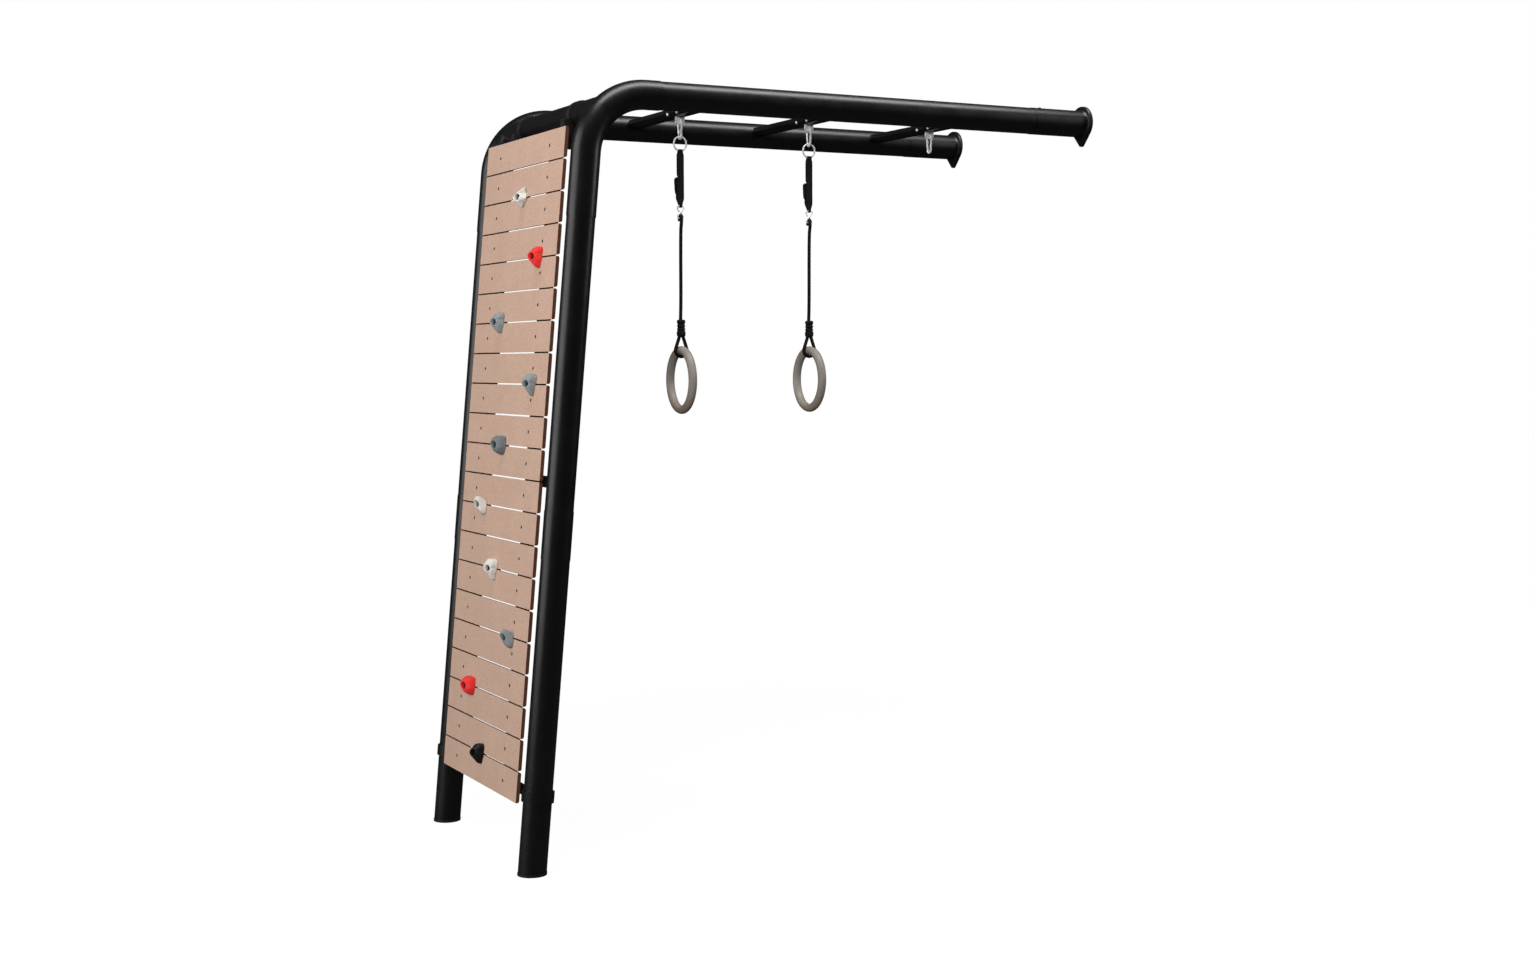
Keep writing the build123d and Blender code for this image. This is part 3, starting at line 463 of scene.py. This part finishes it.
def webbing_material():
    """Black polyester webbing: ribs across the band and a fine twill along it."""
    surface = Surface("woven_webbing", 0.75, specular=0.25)
    surface.shader.inputs["Sheen Weight"].default_value = 0.03
    surface.shader.inputs["Sheen Roughness"].default_value = 0.4
    across = surface.node("ShaderNodeTexWave", bands_direction="Z", wave_profile="SIN")
    across.inputs["Scale"].default_value = 150
    across.inputs["Distortion"].default_value = 0.6
    surface.link(surface.coordinates, across.inputs["Vector"])
    along = surface.node("ShaderNodeTexWave", bands_direction="X", wave_profile="SIN")
    along.inputs["Scale"].default_value = 260
    surface.link(surface.coordinates, along.inputs["Vector"])
    weave = surface.math("MULTIPLY", across.outputs["Fac"], along.outputs["Fac"])
    surface.colour(surface.ramp(weave, ((0.0, (0.0035, 0.0035, 0.0035)), (0.9, (0.012, 0.012, 0.012)))))
    surface.bump(weave, 0.4, 0.0003)
    return surface.material


def rope_material():
    """Black braided cord: hairy fibres over the modelled braid."""
    surface = Surface("braided_rope", 0.8, specular=0.22)
    surface.shader.inputs["Sheen Weight"].default_value = 0.02
    surface.shader.inputs["Sheen Roughness"].default_value = 0.5
    fibre = surface.noise(700, 4, 0.7, surface.stretched((1, 1, 0.4)))
    surface.colour(surface.ramp(fibre, ((0.3, (0.003, 0.003, 0.003)), (0.7, (0.011, 0.011, 0.0115)))))
    surface.bump(fibre, 0.2, 0.00015)
    return surface.material


def ring_material():
    """Grey-brown moulded plastic, a little browner towards the bottom of the ring."""
    surface = Surface("ring_plastic", 0.42, specular=0.4)
    height = surface.node("ShaderNodeSeparateXYZ")
    surface.link(surface.coordinates, height.inputs["Vector"])
    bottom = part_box("gym_ring_1")[0][2]
    tint = surface.spread(height.outputs["Z"], 0.0, 1.0, bottom + 0.055, bottom + 0.057)
    cloud = surface.noise(25, 4, 0.6)
    grey = surface.ramp(cloud, ((0.3, (0.275, 0.247, 0.216)), (0.7, (0.325, 0.294, 0.260))))
    brown = surface.ramp(cloud, ((0.3, (0.275, 0.230, 0.185)), (0.7, (0.322, 0.273, 0.222))))
    surface.colour(surface.mix(tint, brown, grey))
    grain = surface.noise(1400, 3, 0.6)
    surface.roughness(surface.spread(grain, 0.36, 0.52))
    surface.bump(grain, 0.08, 0.00006)
    return surface.material


# --- hanging sets ---------------------------------------------------------------------------
def diamond(angle, distance, strands, pitch):
    """Height of a braid's crossing strands, from nought to one."""
    turns = strands * angle
    run = 2 * math.pi * distance / pitch
    return (1 + math.cos(turns + run)) * (1 + math.cos(turns - run)) / 4


def braid(angle, distance):
    """Diamond relief of a braided rope, as a share of its radius."""
    return 0.955 + 0.055 * diamond(angle, distance, BRAID_STRANDS, BRAID_PITCH)


def add_rope(number, x, material):
    turn = Matrix.Rotation(RING_TURN, 3, "Z")
    route = [turn @ Vector(point) + Vector((x, 0, 0)) for point in ROPE_ROUTE]
    name = f"rope_{number}_braid"
    centreline = thinned(spline_points(route, name), 0.0010)
    rings = tube_rings(centreline, ROPE_RADIUS, 48, (1, 0, 0), relief=braid)
    data = grid_mesh(name, rings, closed=False)
    rope = add_object(name, data, material, f"rope_{number}", [f"rope_{number}"])
    knot = add_knot(number, x, material)


KNOT_PROFILE = tuple((depth * MM, radius * MM) for depth, radius in (
    (0, 6.4), (1.0, 12.2), (4, 14.6), (9, 14.6), (12.5, 13.0), (16, 12.4), (19.2, 12.9), (21.5, 15.5),
    (23.8, 12.9), (26.8, 12.4), (29.7, 12.9), (32, 15.5), (34.3, 13.2), (37, 12.8), (40.5, 14.8),
    (47, 15.4), (53, 14.7), (57, 12.4), (58.9, 8.5),
))


def add_knot(number, x, material):
    """Lashed knot: a collar, two proud turns and a barrel, all of braided cord."""
    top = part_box(f"rope_knot_{number}")[1][2]
    rings = []
    steps = 118
    depth_end = KNOT_PROFILE[-1][0]
    for step in range(steps + 1):
        depth = depth_end * step / steps
        radius = smooth_value(KNOT_PROFILE, depth)
        ring = []
        for side in range(72):
            angle = 2 * math.pi * side / 72
            reach = radius * (0.975 + 0.035 * diamond(angle, depth, KNOT_STRANDS, KNOT_PITCH))
            ring.append(Vector((x + reach * math.cos(angle), reach * math.sin(angle), top - depth)))
        rings.append(ring)
    name = f"rope_knot_{number}_lashing"
    data = grid_mesh(name, rings, closed=False)
    return add_object(name, data, material, f"rope_{number}", [f"rope_knot_{number}"])


def add_link(number, x, material):
    """Figure-eight wire link: the two diagonals pass each other at the middle."""
    top, bottom = LINK_TOP_Z, LINK_BOTTOM_Z
    middle, half = (top + bottom) / 2, (top - bottom) / 2
    points = []
    for step in range(96):
        t = 2 * math.pi * step / 96
        points.append(Vector((
            x + 0.0108 * math.sin(2 * t), -0.0026 * math.sin(t), middle + half * math.cos(t),
        )))
    name = f"link_{number}_wire"
    data = grid_mesh(name, tube_rings(points, 0.0025, 20, (0, 1, 0), closed=True), closed=True)
    return add_object(name, data, material, f"link_{number}", [f"link_{number}"])


def add_gym_ring(number, x, material):
    """Moulded ring with fine parting lines on its outer and inner side."""
    centre = Vector((x, 0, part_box(f"gym_ring_{number}")[1][2] - RING_RADIUS - RING_TUBE))
    turn = Matrix.Rotation(RING_TURN, 3, "Z")
    lines = (math.radians(24), math.radians(100))
    rings = []
    for step in range(160):
        major = 2 * math.pi * step / 160
        outward = Vector((0, math.sin(major), math.cos(major)))
        ring = []
        for side in range(144):
            minor = 2 * math.pi * side / 144 - math.pi
            nearest = min(abs(abs(minor) - line) for line in lines)
            groove = 0.00045 * math.exp(-((nearest / math.radians(2.2)) ** 2))
            reach = RING_TUBE - groove
            offset = outward * (RING_RADIUS + reach * math.cos(minor))
            ring.append(centre + turn @ (offset + Vector((reach * math.sin(minor), 0, 0))))
        rings.append(ring)
    name = f"gym_ring_{number}_moulding"
    data = grid_mesh(name, rings, closed=True)
    return add_object(name, data, material, f"gym_ring_{number}", [f"gym_ring_{number}"])


def strap_line():
    """Centreline of the webbing as (y, z, width): out of the buckle, round both eyes, and back in."""
    ring_z, link_z = STRAP_TOP_Z, LINK_TOP_Z
    full, top_eye, low_eye = 0.0248, 0.0168, 0.0100
    line = [(0.0024, z, full) for z in (2.184, 2.205, 2.225, 2.245, ring_z - 0.017, ring_z - 0.0145)]
    line.append((0.0034, ring_z - 0.007, 0.0185))
    line += [
        (0.0046 * math.cos(math.pi * k / 8), ring_z + 0.0046 * math.sin(math.pi * k / 8),
        top_eye) for k in range(9)
    ]
    line.append((-0.0036, ring_z - 0.007, 0.0185))
    back = (ring_z - 0.0145, ring_z - 0.017, 2.240, 2.21, 2.18, 2.15, 2.125, 2.116, 2.113)
    line += [(-0.0031, z, full) for z in back]
    line.append((-0.0042, 2.101, 0.0150))
    line += [
        (-0.0048 * math.cos(math.pi * k / 8), link_z - 0.0048 * math.sin(math.pi * k / 8),
        low_eye) for k in range(9)
    ]
    line += [
        (0.0062, 2.101, 0.0150), (0.0092, 2.112, 0.0245), (0.0100, 2.119, full), (0.0102, 2.127, full),
    ]
    line.append((0.0098, 2.1345, full))
    return line


def add_strap(number, x, material):
    """Webbing band 2 mm thick with soft edges, as one loop through the two eyes."""
    line = strap_line()
    points = [Vector((0, y, z)) for y, z, _ in line]
    widths = [width for *_, width in line]
    half = 0.00095
    corner = 0.0007
    rings = []
    for k, (tangent, _, _) in enumerate(frames_along(points, (0, 1, 0))):
        side = Vector((1, 0, 0))
        out = side.cross(tangent)
        reach = widths[k] / 2
        outline = [
            (reach - corner, half), (reach, half - corner), (reach, corner - half),
            (reach - corner, -half),
            (0, -half * 1.08), (corner - reach, -half), (-reach, corner - half), (-reach, half - corner),
            (corner - reach, half), (0, half * 1.08),
        ]
        rings.append([points[k] + Vector((x, 0, 0)) + side * a + out * b for a, b in outline])
    name = f"strap_{number}_webbing"
    data = grid_mesh(name, rings, closed=False)
    strap = add_object(name, data, material, f"strap_{number}", [f"strap_{number}"])
    subdivide = strap.modifiers.new("soften", "SUBSURF")
    subdivide.levels = subdivide.render_levels = 2
    return strap


def add_stitching(number, x, material):
    """Sewn boxes of thread on the front of the strap, below its top eye and above its bottom eye."""
    mesh = bmesh.new()
    for middle in (2.2480, 2.1265):
        low, high = middle - 0.007, middle + 0.007
        corners = [(-0.009, low), (0.009, low), (0.009, high), (-0.009, high)]
        crossed = [(corners[0], corners[2]), (corners[1], corners[3])]
        runs = list(zip(corners, corners[1:] + corners[:1])) + crossed
        for start, end in runs:
            start, end = Vector(start), Vector(end)
            count = max(3, round((end - start).length / 0.0024))
            for k in range(count):
                spot = start.lerp(end, (k + 0.5) / count)
                angle = math.atan2(end.y - start.y, end.x - start.x)
                place = Matrix.Translation((x + spot.x, -0.0041, spot.y))
                place = place @ Matrix.Rotation(-angle, 4, "Y")
                bmesh.ops.create_uvsphere(
                    mesh, u_segments=8, v_segments=6, radius=1,
                    matrix=place @ Matrix.Diagonal((0.00095, 0.0003, 0.0003, 1)),
                )
    name = f"strap_{number}_stitching"
    data = bpy.data.meshes.new(name)
    mesh.to_mesh(data)
    mesh.free()
    return add_object(name, data, material, f"strap_{number}", [])


# --- climbing holds -------------------------------------------------------------------------
# Each shape is a few convex lumps that are melted together.  Points are (across, down, out) in mm.
def face_ring(radius, height, across=0, down=0, tilt=7):
    """Points round the mouth of a bolt pocket, lower on its near side by the tilt."""
    points = []
    for k in range(8):
        side, fall = math.cos(math.radians(45 * k)), math.sin(math.radians(45 * k))
        points.append((across + radius * side, down + radius * fall, height - 3 + tilt * side))
    return points


NOSE = face_ring(15, 33, 2, -1)
HEART = [
    [(-24, -18, 0), (26, -16, 0), (27, 6, 0), (14, 22, 0), (-12, 24, 0), (-24, 8, 0), *NOSE],
    [(-26, -14, 0), (-25, -28, 0), (-14, -34, 0), (2, -32, 0), (-22, -26, 14), (-12, -32, 17),
     (0, -30, 20),
     (-12, -14, 24), (2, -15, 30), (-19, -12, 17)],
    [(27, -10, 0), (24, -26, 0), (12, -32, 0), (21, -24, 17), (10, -29, 20), (13, -13, 32)],
    [(-20, 8, 0), (16, 10, 0), (10, 30, 0), (-12, 31, 0), (-2, 36, 0), (-15, 10, 17), (8, 12, 31),
     (-6, 11, 25),
     (4, 27, 17), (-8, 28, 16), (-3, 33, 12)],
]
SHIELD = [
    [(-26, -24, 0), (-14, -33, 0), (18, -33, 0), (28, -24, 0), (27, -6, 0), (12, 22, 0),
     (-10, 20, 0), (-25, -6, 0),
     (-20, -27, 17), (-8, -32, 20), (14, -31, 22), (22, -22, 24), *face_ring(14, 32, 3, -3)],
    [(-25, -20, 0), (-24, -2, 0), (-20, -25, 21), (-22, -10, 20), (-17, -18, 25), (-17, -8, 20)],
    [(-16, 4, 0), (12, 6, 0), (4, 36, 0), (-6, 38, 0), (-15, 4, 18), (-6, 6, 29), (8, 8, 28), (0, 33, 14),
     (-6, 36, 12)],
]
DOME = [
    [(-27, -24, 0), (-16, -31, 0), (18, -31, 0), (28, -24, 0), (29, 6, 0), (20, 24, 0), (6, 31, 0),
     (-8, 31, 0),
     (-20, 24, 0), (-28, 6, 0), (-25, -25, 16), (25, -25, 16), (-14, -30, 20), (15, -30, 20),
     (-26, 6, 17),
     (26, 6, 17), (-17, -22, 27), (16, -22, 32), (-18, 8, 26), (17, 8, 33), *face_ring(13, 36, 1, -5),
     (-10, 22, 25), (12, 22, 25), (0, 28, 16)],
]
JUG = [
    [(-15, -14, 0), (15, -12, 0), (21, 8, 0), (16, 28, 0), (-16, 28, 0), (-21, 8, 0), (0, 34, 0),
     (-12, -26, 24), (12, -26, 24), (-13, -25, 31), (13, -25, 31), *face_ring(13, 33, 1, -7),
     (-14, 23, 19), (14, 23, 19), (-9, 31, 12), (9, 31, 12)],
]
STAR = [
    [(-2, -20, 0), (-24, -8, 0), (-20, 14, 0), (10, 20, 0), (26, 4, 0), (18, -16, 0),
     *face_ring(13, 32, 3, 2)],
    [(-12, -6, 0), (8, -6, 0), (-12, -34, 6), (-18, -32, 10), (-4, -16, 24), (6, -12, 30), (-12, -30, 0)],
    [(-16, -2, 0), (-14, 14, 0), (-30, 6, 5), (-30, 2, 9), (-8, 0, 27), (-8, 12, 22)],
    [(-10, 10, 0), (12, 12, 0), (8, 32, 8), (2, 33, 4), (8, 10, 30), (-6, 12, 28), (4, 26, 16)],
    [(16, -12, 0), (16, 12, 0), (30, 8, 14), (30, 2, 8), (14, 4, 30)],
]
HOLDS = (
    ("hold_01_star", -32, 1, STAR, "hold_light_grey", 4),
    ("hold_02_heart", -206, 3, HEART, "hold_red", 10),
    ("hold_03_heart", 97, 5, HEART, "hold_mid_grey", 10),
    ("hold_04_shield", -234, 7, SHIELD, "hold_mid_grey", 7),
    ("hold_05_dome", -2, 9, DOME, "hold_dark_grey", 6),
    ("hold_06_jug", 126, 11, JUG, "hold_light_grey", 9),
    ("hold_07_shield", -12, 13, SHIELD, "hold_light_grey", 7),
    ("hold_08_jug", -207, 15, JUG, "hold_mid_grey", 9),
    ("hold_09_dome", 118, 17, DOME, "hold_red", 6),
    ("hold_10_heart", -13, 19, HEART, "hold_black", 6),
)
POCKET_RADIUS = 0.0092
POCKET_FLOOR = 0.0140
POCKET_PROFILE = (                             # height off the planks and radius, out past the mouth
    (POCKET_FLOOR, POCKET_RADIUS), (0.020, POCKET_RADIUS), (0.028, 0.0108), (0.038, 0.0135),
    (0.060, 0.018),
)
POCKET_SHADE_REACH = 0.022
SKIN_VOXEL, FINE_VOXEL, EASE_STEPS = 0.0016, 0.0014, 3
SLAB_SIDE, SLAB_THICKNESS = 0.2, 0.04


def wall_matrix(across, down):
    """Frame on the front of the planks: x across, y down the wall, z out of it."""
    down_wall = Vector((-math.sin(LEAN), 0, -math.cos(LEAN)))
    out = Vector((-math.cos(LEAN), 0, math.sin(LEAN)))
    place = WALL_ORIGIN + Vector((0, across, 0)) + down_wall * down
    return Matrix.Translation(place) @ Matrix((Vector((0, 1, 0)), down_wall, out)).transposed().to_4x4()


def lump_mesh(lumps):
    mesh = bmesh.new()
    for lump in lumps:
        corners = [mesh.verts.new(Vector(point) * MM) for point in lump]
        bmesh.ops.convex_hull(mesh, input=corners)
    bmesh.ops.delete(mesh, geom=[v for v in mesh.verts if not v.link_faces], context="VERTS")
    return finished(mesh, "lumps")


def pocket_cutter():
    """Round bar, slightly flared at its mouth, that sinks the bolt into the hold."""
    rings = []
    for height, radius in POCKET_PROFILE:
        rings.append([
            Vector((radius * math.cos(a), radius * math.sin(a), height))
            for a in (2 * math.pi * k / 32 for k in range(32))
        ])
    return linked("pocket", grid_mesh("pocket", rings, closed=False))


def base_cutter():
    """Slab behind the plank face, which keeps the back of a hold flat."""
    mesh = bmesh.new()
    sink = Matrix.Translation((0, 0, -SLAB_THICKNESS / 2))
    size = Matrix.Diagonal((SLAB_SIDE, SLAB_SIDE, SLAB_THICKNESS, 1))
    bmesh.ops.create_cube(mesh, size=1, matrix=sink @ size)
    return linked("slab", finished(mesh, "slab"))


def melt(lumps, smoothing, pocket, slab):
    """One smooth skin round the lumps, with the bolt pocket sunk in and a flat back."""
    raw = linked("raw_hold", lump_mesh(lumps))
    first = raw.modifiers.new("skin", "REMESH")
    first.mode, first.voxel_size = "VOXEL", SKIN_VOXEL
    soften = raw.modifiers.new("soften", "SMOOTH")
    soften.factor, soften.iterations = 0.5, smoothing
    sink = raw.modifiers.new("sink", "BOOLEAN")
    sink.operation, sink.object = "DIFFERENCE", pocket
    second = raw.modifiers.new("skin_again", "REMESH")
    second.mode, second.voxel_size = "VOXEL", FINE_VOXEL
    ease = raw.modifiers.new("ease", "SMOOTH")
    ease.factor, ease.iterations = 0.5, EASE_STEPS
    flat = raw.modifiers.new("flat_back", "BOOLEAN")
    flat.operation, flat.object = "DIFFERENCE", slab
    graph = bpy.context.evaluated_depsgraph_get()
    data = bpy.data.meshes.new_from_object(raw.evaluated_get(graph))
    bpy.data.objects.remove(raw)
    data.polygons.foreach_set("use_smooth", [True] * len(data.polygons))
    return data


def add_holds(materials):
    pocket = pocket_cutter()
    slab = base_cutter()
    shapes = {}
    for node, across, gap, lumps, slot, smoothing in HOLDS:
        key = (id(lumps), smoothing)
        if key not in shapes:
            shapes[key] = melt(lumps, smoothing, pocket, slab)
        data = shapes[key].copy()
        data.transform(wall_matrix(across * MM, FIRST_GAP + PLANK_PITCH * gap))
        add_object(f"{node}_casting", data, materials[slot], "frame", [node])
    bpy.data.objects.remove(pocket)
    bpy.data.objects.remove(slab)


# --- carried-over CAD nodes -----------------------------------------------------------------
def paint_nodes(materials):
    """Give every CAD node the material of its slot, but the hold bolts a dark one."""
    slots = {part["node"]: part["material_slot"] for part in frame["record"]["subparts"]}
    for name, node in frame["nodes"].items():
        dress(node, materials[slots[name]])
    dress(frame["nodes"]["hold_bolts"], materials["dark_fastener"])


# --- room and lights ------------------------------------------------------------------------
def add_floor():
    """White floor to the eye that throws little light up onto the underside of the tubes."""
    mesh = bmesh.new()
    bmesh.ops.create_grid(mesh, x_segments=1, y_segments=1, size=60)
    data = finished(mesh, "floor")
    floor = linked("floor", data)
    surface = Surface("floor_paper", 0.9, specular=0.1)
    tone = surface.noise(0.6, 2)
    surface.colour(surface.ramp(tone, ((0.3, (0.055, 0.055, 0.055)), (0.7, (0.06, 0.06, 0.06)))))
    tree = surface.tree
    distance = surface.node("ShaderNodeVectorMath", operation="LENGTH")
    tree.links.new(surface.coordinates, distance.inputs[0])
    glow = surface.node("ShaderNodeEmission")
    dark = surface.node("ShaderNodeEmission")
    dark.inputs["Strength"].default_value = 0.0
    brightness = surface.spread(distance.outputs["Value"], 0.955, 1.0, 2.2, 5.0)
    tree.links.new(brightness, glow.inputs["Strength"])
    seen = surface.node("ShaderNodeMixShader")
    total = surface.node("ShaderNodeAddShader")
    path = surface.node("ShaderNodeLightPath")
    tree.links.new(path.outputs["Is Camera Ray"], seen.inputs["Fac"])
    tree.links.new(dark.outputs["Emission"], seen.inputs[1])
    tree.links.new(glow.outputs["Emission"], seen.inputs[2])
    tree.links.new(surface.shader.outputs["BSDF"], total.inputs[0])
    tree.links.new(seen.outputs["Shader"], total.inputs[1])
    tree.links.new(total.outputs["Shader"], tree.nodes["Material Output"].inputs["Surface"])
    data.materials.append(surface.material)


def add_light(name, place, target, size, power, mirrored_in_gloss=True):
    """Soft rectangular light; one that gloss does not mirror only fills the shadows."""
    light = bpy.data.lights.new(name, "AREA")
    light.energy = power
    light.shape = "RECTANGLE"
    light.size, light.size_y = size
    holder = linked(name, light)
    holder.visible_glossy = mirrored_in_gloss
    aim = (Vector(target) - Vector(place)).to_track_quat("-Z", "Y").to_matrix().to_4x4()
    holder.matrix_world = Matrix.Translation(place) @ aim


def add_world():
    """White surroundings to the eye, and a dimmer grey for the light that they give."""
    world = bpy.data.worlds.new("studio")
    bpy.context.scene.world = world
    world.use_nodes = True
    tree = world.node_tree
    tree.nodes.clear()
    output = tree.nodes.new("ShaderNodeOutputWorld")
    mix = tree.nodes.new("ShaderNodeMixShader")
    path = tree.nodes.new("ShaderNodeLightPath")
    seen = tree.nodes.new("ShaderNodeBackground")
    given = tree.nodes.new("ShaderNodeBackground")
    seen.inputs["Color"].default_value = (1, 1, 1, 1)
    given.inputs["Color"].default_value = (1, 1, 1, 1)
    given.inputs["Strength"].default_value = 0.035
    tree.links.new(path.outputs["Is Camera Ray"], mix.inputs["Fac"])
    tree.links.new(given.outputs["Background"], mix.inputs[1])
    tree.links.new(seen.outputs["Background"], mix.inputs[2])
    tree.links.new(mix.outputs["Shader"], output.inputs["Surface"])


def add_lights():
    add_light("wall_softbox", (-6.2, 0.8, 3.0), (-0.9, 0, 1.5), (5.4, 5.0), 215)
    add_light("overhead_strip", (0.3, -0.9, 5.4), (0.3, 0, 2.3), (5.0, 1.5), 190)
    add_light("rim_strip", (4.6, -2.2, 3.6), (-0.6, -0.4, 2.0), (0.9, 2.4), 60)
    add_light("front_fill", (-5.4, -5.6, 3.2), (-0.2, 0, 1.6), (3.0, 3.0), 400, mirrored_in_gloss=False)


bpy.context.scene.view_settings.view_transform = "Standard"
add_camera()
black_webbing = webbing_material()
black_rope = rope_material()
# Near-white base colour: pale plated steel, brightened into a painted reflection of the white studio.
bright_steel = steel_material("zinc_with_painted_reflection", (0.98, 0.98, 0.98), 0.26, 0.12)
slot_materials = {
    "frame_black": paint_material(),
    "black_plastic": black_plastic_material(),
    "bright_steel": bright_steel,
    "dark_metal": steel_material("dark_buckle_metal", (0.012, 0.012, 0.013), 0.38, 0.3),
    "dark_fastener": dark_screw_material(),
    "plank": plank_material(),
    "strap_webbing": black_webbing,
    "rope_black": black_rope,
    "ring_plastic": ring_material(),
    "hold_light_grey": hold_material("resin_light_grey", (0.70, 0.67, 0.63)),
    "hold_mid_grey": hold_material("resin_mid_grey", (0.25, 0.28, 0.29)),
    "hold_dark_grey": hold_material("resin_dark_grey", (0.165, 0.19, 0.195)),
    "hold_red": hold_material("resin_red", (0.80, 0.035, 0.035), 0.92),
    "hold_black": hold_material("resin_black", (0.0065, 0.0065, 0.0065)),
}
for number in (1, 2):
    x = set_x(number)
    add_rope(number, x, black_rope)
    add_strap(number, x, black_webbing)
    add_stitching(number, x, black_rope)
    add_link(number, x, bright_steel)
    add_gym_ring(number, x, slot_materials["ring_plastic"])
add_holds(slot_materials)
paint_nodes(slot_materials)
add_floor()
add_world()
add_lights()
